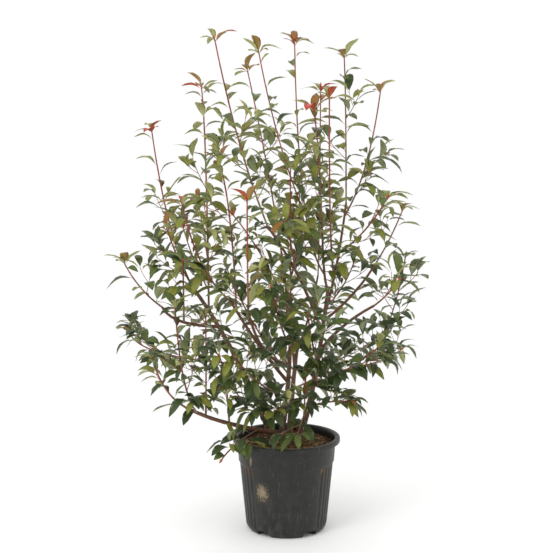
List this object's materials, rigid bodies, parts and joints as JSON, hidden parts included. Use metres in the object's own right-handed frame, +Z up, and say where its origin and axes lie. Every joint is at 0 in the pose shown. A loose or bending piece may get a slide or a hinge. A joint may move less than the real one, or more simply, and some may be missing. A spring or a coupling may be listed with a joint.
{
  "type": "potted photinia shrub",
  "caption": "Young multi-stemmed evergreen photinia with open leafy shoots, standing in a round black nursery pot filled with compost.",
  "frame": {"origin": "middle of the pot's flat underside, on the surface that it stands on", "axes": "+Z up along the pot's axis, +X to the right and +Y to the back as the picture shows the plant"},
  "size_m": [0.9605, 0.8315, 1.5269],
  "materials": {
    "pot": "satin blow-moulded black polyethylene",
    "soil": "moist bark compost with straw",
    "stem_bark": "smooth young bark, grey-brown",
    "bough_bark": "smooth young bark, red-brown",
    "upper_leaves": "semi-gloss young leaves",
    "shoot_leaves": "semi-gloss leaves",
    "lower_leaves": "semi-gloss mature leaves"
  },
  "bodies": {
    "root": {"pot": "pot", "soil": "soil", "stem_centre": "stem_bark", "stem_right": "stem_bark", "stem_left": "stem_bark", "stem_back": "stem_bark", "bough_low_left": "bough_bark", "bough_mid": "bough_bark", "bough_right": "bough_bark", "bough_tall": "bough_bark", "bough_low_right": "bough_bark", "bough_out_right": "bough_bark", "bough_far_left": "bough_bark", "bough_inner_left": "bough_bark", "bough_west": "bough_bark", "bough_back_left": "bough_bark", "bough_back_right": "bough_bark", "whip_far_left": "upper_leaves", "whip_left": "upper_leaves", "whip_tall_left": "upper_leaves", "whip_back_left": "upper_leaves", "whip_centre_left": "upper_leaves", "whip_tallest": "upper_leaves", "whip_right": "upper_leaves", "whip_right_front": "upper_leaves", "whip_outer_right": "upper_leaves", "whip_centre_front": "upper_leaves", "whip_back_centre": "upper_leaves", "whip_centre": "upper_leaves", "whip_mid_left": "upper_leaves", "whip_left_front": "upper_leaves", "whip_left_centre": "upper_leaves", "whip_far_left_end": "upper_leaves", "whip_inner_left": "upper_leaves", "shoot_right_front": "shoot_leaves", "shoot_right_upper": "shoot_leaves", "shoot_right_mid": "shoot_leaves", "shoot_red_front": "shoot_leaves", "shoot_west": "shoot_leaves", "shoot_west_up": "shoot_leaves", "shoot_low_end": "shoot_leaves", "shoot_low_front": "shoot_leaves", "shoot_low_mid": "shoot_leaves", "spray_right_low": "lower_leaves", "spray_right_front": "lower_leaves", "spray_foot_right": "lower_leaves", "spray_foot_front": "lower_leaves", "spray_middle": "lower_leaves", "spray_middle_left": "lower_leaves", "spray_inner_low": "lower_leaves", "spray_front": "lower_leaves", "spray_front_right": "lower_leaves", "spray_west_low": "lower_leaves", "spray_low_front": "lower_leaves", "spray_over_rim": "lower_leaves", "spray_back_right": "lower_leaves", "spray_back_centre": "lower_leaves", "spray_back_left": "lower_leaves", "spray_back_low": "lower_leaves", "spray_back_low_right": "lower_leaves"}
  },
  "joints": []
}
